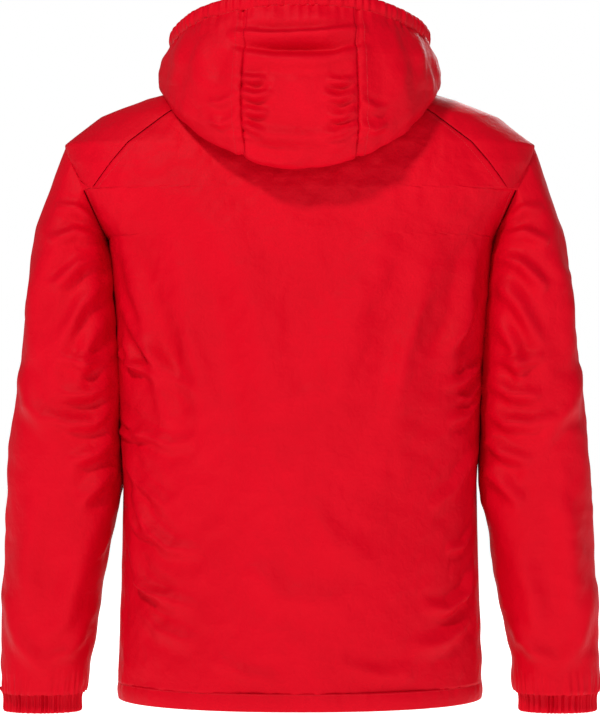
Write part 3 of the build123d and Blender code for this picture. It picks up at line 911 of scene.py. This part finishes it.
grid = back_panel_grid(110, 110)
inner = inside_of(grid, grid_normals(grid), LINING_DEPTH, 31)
back_lining = cloth_piece("body_lining_back", inner[6:], wall=0.5)
dress(back_lining, pongee, "torso")
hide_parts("back_lining")
for name, side in SIDE.items():
    grid = front_panel_grid(110, 60, side)
    inner = inside_of(grid, grid_normals(grid), LINING_DEPTH, 33)
    piece = cloth_piece(f"body_lining_{name}", inner[6:], wall=0.5)
    dress(piece, pongee, "torso")
    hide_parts(f"front_lining_{name}")
    tube, _ = sleeve_tube(110, 90)
    tube = inside_of(tube, outward_normals(tube, (55, 0), 0, closed=True), LINING_DEPTH + 4, 36)
    piece = cloth_piece(f"arm_lining_{name}", on_side(tube, side), closed=True, wall=0.5)
    dress(piece, pongee)
    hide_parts(f"sleeve_lining_{name}")
    bend_with_sleeve(piece)
inner = hood_cloth - hood_normals * 4.2
piece = cloth_piece("hood_inner", inner[::2, ::2], wall=0.5)
dress(piece, pongee)
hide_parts("hood_lining")
bend_with_hood(piece)

# ------ cuffs
# A short band at each wrist, shirred on to a wide elastic, so that it stands in fine
# upright pleats.
CUFF_X = 309
CUFF_REACH = (46, 30)
# from the turned-in edge round the band's outside and up into the sleeve: inwards, and height
CUFF_PROFILE = [(8.5, -744.7), (6.0, -747.0), (3.0, -748.4), (0.4, -747.4), (-0.2, -744),
                (0.4, -738), (0.3, -731), (-0.4, -727), (-2.5, -723), (-6, -720)]
for name, side in SIDE.items():
    turns = np.linspace(0, 2 * math.pi, 620, endpoint=False)
    pleat = np.sin(turns * 46 + 2.0 * np.sin(turns * 7)) + 0.5 * np.sin(turns * 71 + side)
    rows = []
    for inward, z in CUFF_PROFILE:
        wide, deep = [reach - inward + 1.3 * pleat * (1 if inward < 5 else 0.4) for reach in CUFF_REACH]
        x = side * CUFF_X + side * wide * np.cos(turns)
        rows.append(np.stack([x, deep * np.sin(turns), 0 * wide + z], -1))
    points = np.array(rows)[:, ::side]
    band = cloth_piece(f"cuff_band_{name}", points, closed=True, wall=0.6)
    smooth = band.modifiers.new("smooth", "SUBSURF")
    smooth.levels = smooth.render_levels = 1
    bpy.ops.object.modifier_apply(modifier="smooth")
    dress(band, taffeta, f"sleeve_{name}")
    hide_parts(f"cuff_{name}", f"cuff_elastic_{name}")

# ------ collar
# The two front ends of the hood inside the neckline, doubled and stiff enough to stand.
COLLAR_REACH = (79.5, 82)
COLLAR_Y = -18
turns = np.linspace(math.radians(12), math.radians(-86.6), 90)
heights = np.concatenate([np.linspace(-4, 30, 24), [32.5, 33.6, 32.5, 30], np.linspace(28, -4, 14)])
inward = np.concatenate([np.zeros(24), [0.6, 1.7, 2.8, 3.3], np.full(14, 3.4)])
wide, deep = [reach - inward[:, None] for reach in COLLAR_REACH]
for name, side in SIDE.items():
    points = np.stack([side * wide * np.cos(turns), COLLAR_Y + deep * np.sin(turns),
                       0 * turns + heights[:, None]], -1)[:, ::-side]
    points = points + grid_normals(points) * (0.5 * ripple(points, 40, 51))[..., None]
    piece = cloth_piece(f"collar_end_{name}", points, wall=0.5)
    dress(piece, taffeta, "torso")
    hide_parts(f"collar_{name}")

# ------ zips
# Moulded plastic chains on woven tape. The front one runs the whole front under a wind flap,
# the pocket ones open the slanting hand pockets between two welts.
trim_red = woven("red_zip_tape", "B4000C", "8E000A", 0.7, 0.6, 0.0, crumple=0.1, weave=0.3)


def grained(name, light, dark, rough, metallic=0.0):
    """A moulded or cast surface with faint grain."""
    material, tree, shader = blank_material(name)
    grit = node(tree, "TexNoise", {}, {"Scale": 240, "Detail": 3}, {"Vector": object_place(tree)})
    grit = grit.outputs["Fac"]
    tinted(tree, shader, light, dark, grit)
    roughened(tree, shader, rough - 0.05, rough + 0.08, grit)
    bump = node(tree, "Bump", {}, {"Strength": 0.12, "Distance": 0.0002}, {"Height": grit})
    tree.links.new(bump.outputs["Normal"], shader.inputs["Normal"])
    shader.inputs["Metallic"].default_value = metallic
    return material


teeth_plastic = grained("red_moulded_teeth", "C4040F", "A4000A", 0.35)
slider_metal = grained("dark_nickel_slider", "6E6E72", "58585C", 0.3, 1.0)
fittings = {"front_zip_slider": slider_metal, "front_zip_puller": slider_metal,
            "front_zip_top_stops": teeth_plastic, "front_zip_bottom_box": teeth_plastic}
for name in SIDE:
    fittings[f"pocket_zip_slider_{name}"] = fittings[f"pocket_zip_puller_{name}"] = slider_metal
for name, material in fittings.items():
    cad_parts[name].data.materials.clear()
    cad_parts[name].data.materials.append(material)

# the zips' frames: where each chain starts, the way up it, and the way out of the cloth
ZIP_LEAN = math.atan2(HEM_DEPTH - NECK_DEPTH, NECK_Z - HEM_Z)
ZIPS = {"front": ((0, -162.4, 34), (0, math.sin(ZIP_LEAN), math.cos(ZIP_LEAN)),
                  (0, -math.cos(ZIP_LEAN), math.sin(ZIP_LEAN)))}
for name, side in SIDE.items():
    ZIPS[f"pocket_{name}"] = ((side * 167.1, -151.1, -480), (side * -0.0639, -0.017, 0.9978),
                              (side * 0.638, -0.7695, 0.0278))


def zip_frame(zip_name):
    """A zip's frame: where its chain starts, the way up it, the way out and the way across."""
    origin, up, out = [np.array(v, float) for v in ZIPS[zip_name]]
    return origin, up, out, np.cross(up, out)


def strip(name, zip_name, across, top, length, depth, width, thick, material, cad):
    """A narrow piece of cloth laid along a zip, its edges rounded and its surface a little uneven."""
    origin, up, out, right = zip_frame(zip_name)
    around = np.linspace(0, 2 * math.pi, 25)
    rows = max(int(length / 3), 8)
    drop = np.linspace(top, top + length, rows)
    reach_x = width / 2 * np.sign(np.cos(around)) * np.abs(np.cos(around)) ** 0.35
    reach_z = thick / 2 * np.sign(np.sin(around)) * np.abs(np.sin(around)) ** 0.6
    points = origin - drop[:, None, None] * up + (across + reach_x)[None, :, None] * right
    points = points + (depth + reach_z)[None, :, None] * out
    points = points + out * (0.12 * ripple(points, 26, 5))[..., None]
    middle = points.mean(axis=1, keepdims=True)
    ends = middle + (points - middle) * 0.02
    points = np.concatenate([ends[:1], points, ends[-1:]])[:, :-1]
    piece = cloth_piece(name, points - (0, NECK_CENTRE, 0), closed=True, wall=0)
    bpy.ops.object.mode_set(mode="EDIT")
    bpy.ops.mesh.select_all(action="SELECT")
    bpy.ops.mesh.fill_holes(sides=0)
    bpy.ops.mesh.normals_make_consistent(inside=False)
    bpy.ops.object.mode_set(mode="OBJECT")
    dress(piece, material, "torso")
    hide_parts(*cad)


TOOTH_PITCH = 3.0


def chain(name, zip_name, side, top, length, cad):
    """One side's row of moulded teeth, each a bevelled block."""
    origin, up, out, right = zip_frame(zip_name)
    bpy.ops.object.select_all(action="DESELECT")
    bpy.ops.mesh.primitive_cube_add(size=1)
    row = bpy.context.object
    row.name = name
    turn = Matrix([list(right) + [0], list(up) + [0], list(out) + [0], [0, 0, 0, 1]]).transposed()
    start = origin - up * (top + (0.9 if side > 0 else 2.4)) + right * side * 1.9 + out * -0.6
    size = Matrix.Diagonal((2.3 * MM, 1.7 * MM, 2.9 * MM, 1))
    row.data.transform(Matrix.Translation([c * MM for c in start]) @ turn @ size)
    soft = row.modifiers.new("bevel", "BEVEL")
    soft.width = 0.4 * MM
    soft.segments = 1
    copies = row.modifiers.new("row", "ARRAY")
    copies.use_relative_offset = False
    copies.use_constant_offset = True
    copies.constant_offset_displace = [-c * TOOTH_PITCH * MM for c in up]
    copies.count = int(length / TOOTH_PITCH)
    bpy.ops.object.modifier_apply(modifier="bevel")
    bpy.ops.object.modifier_apply(modifier="row")
    row.data.materials.append(teeth_plastic)
    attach(row, "torso")
    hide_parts(*cad)


for name, side in SIDE.items():
    strip(f"front_tape_{name}", "front", side * 9.2, 0.4, 759, -2.3, 12, 0.7, trim_red,
          [f"front_zip_tape_{name}"])
    chain(f"front_teeth_{name}", "front", side, 3, 754, [f"front_zip_teeth_{name}"])
    for edge, where in (("inner", -1), ("outer", 1)):
        pocket = f"pocket_{name}"
        # the outer piece of each pair stands for the frame's one
        tapes, welts, teeth = [[f"pocket_{kind}_{name}"] if where > 0 else []
                               for kind in ("zip_tapes", "welts", "zip_teeth")]
        strip(f"pocket_tape_{edge}_{name}", pocket, where * 5.8, 0.2, 164.6, -2.3, 5, 0.7, trim_red,
              tapes)
        strip(f"pocket_welt_{edge}_{name}", pocket, where * 6.9, -3, 171, 0, 3.4, 2.0, taffeta,
              welts)
        chain(f"pocket_teeth_{edge}_{name}", pocket, where, 1, 163, teeth)
strip("front_wind_flap", "front", 0, 45, 710, -5.2, 38, 1.1, taffeta,
      ["wind_flap"])
strip("front_chin_guard", "front", 0, -1, 26, -8.4, 24, 1.1, pongee,
      ["chin_guard"])

# ------ inside the jacket
# Pocket bags of lining cloth behind the fronts, the tape that covers the neck seam, and the
# hang loop sewn to it.
for name, side in SIDE.items():
    heights = np.linspace(-706, -477, 60)
    turns = np.linspace(math.radians(152), math.radians(116), 40)
    grid = body_grid(side * turns[None, :], heights)[:, ::side]
    depth = 6.0 + 0.6 * ripple(grid, 50, 61)
    bag = cloth_piece(f"pocket_pouch_{name}", grid - grid_normals(grid) * depth[..., None], wall=1.0)
    dress(bag, pongee, "torso")
    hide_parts(f"pocket_bag_{name}")
turns = np.linspace(math.radians(48), math.radians(132), 60)
heights = np.linspace(-9, 3, 9)[:, None]
grid = np.stack([79 * np.cos(turns) + 0 * heights, COLLAR_Y + 76 * np.sin(turns) + 0 * heights,
                 heights + 0 * turns], -1)
tape = cloth_piece("neck_seam_tape", grid[:, ::-1], wall=0.8)
dress(tape, pongee, "torso")
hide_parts("neck_tape")
LOOP_X = 21.2
turns = np.linspace(0, math.pi, 40)
arch = np.stack([LOOP_X * np.cos(turns), 0 * turns, -10.4 + 11.2 * np.sin(turns)], -1)
legs = np.stack([np.full(8, LOOP_X), np.zeros(8), np.linspace(-18.6, -10.6, 8)], -1)
line = np.concatenate([legs, arch, legs[::-1] * (-1, 1, 1)])
grid = line[None] + np.linspace(50.2, 54.8, 5)[:, None, None] * np.array([0, 1, 0])
loop = cloth_piece("coat_loop", grid[::-1], wall=0.8)
dress(loop, pongee, "torso")
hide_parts("hang_loop")

# ------ studio
# A pale floor and backdrop, a soft light above and beside the camera, a fainter one at its
# height, and a large one on the jacket's front.
bpy.ops.object.select_all(action="DESELECT")
bpy.ops.mesh.primitive_plane_add(size=16, location=(0, 0, -0.9))
floor = bpy.context.object
floor.name = "studio_floor"
paint, tree, shader = blank_material("pale_floor_paint")
set_inputs(shader, {"Base Color": linear("F6F6F6"), "Roughness": 0.9,
                    "Emission Color": linear("FFFFFF"), "Emission Strength": 0.82})
floor.data.materials.append(paint)

world = bpy.data.worlds.new("studio_world")
world.use_nodes = True
tree = world.node_tree
backdrop = tree.nodes["Background"]
backdrop.inputs["Color"].default_value = linear("FFFFFF")
# the backdrop itself is brighter than the light it throws on the cloth
seen = node(tree, "LightPath").outputs["Is Camera Ray"]
strength = node(tree, "MapRange", {}, {"To Min": 0.2, "To Max": 1.0}, {"Value": seen})
tree.links.new(strength.outputs["Result"], backdrop.inputs["Strength"])
bpy.context.scene.world = world


def soft_light(name, place, aim, size, power):
    """A round soft box at a place, aimed at another."""
    lamp = bpy.data.lights.new(name, "AREA")
    lamp.shape = "DISK"
    lamp.size = size
    lamp.energy = power
    obj = new_object(name, lamp)
    obj.location = place
    x, y, z = [a - b for a, b in zip(aim, place)]
    obj.rotation_euler = (math.pi / 2 + math.atan2(z, math.hypot(x, y)), 0, math.atan2(y, x) - math.pi / 2)


soft_light("camera_side_light", (1.0, 2.0, 1.7), (0, 0, -0.3), 0.35, 46)
soft_light("camera_fill_light", (-0.5, 2.8, 0.2), (0, 0, -0.35), 0.6, 14)
soft_light("front_light", (-0.8, -2.6, 1.0), (0, 0, -0.3), 1.4, 40)

camera = bpy.data.cameras.new("camera")
camera.lens = 125.7
camera.sensor_width = 36
camera_object = new_object("camera", camera)
camera_object.location = (0, 2.94, -0.325)
camera_object.rotation_euler = (math.pi / 2, 0, math.pi)
bpy.context.scene.camera = camera_object
bpy.context.scene.view_settings.view_transform = "Standard"
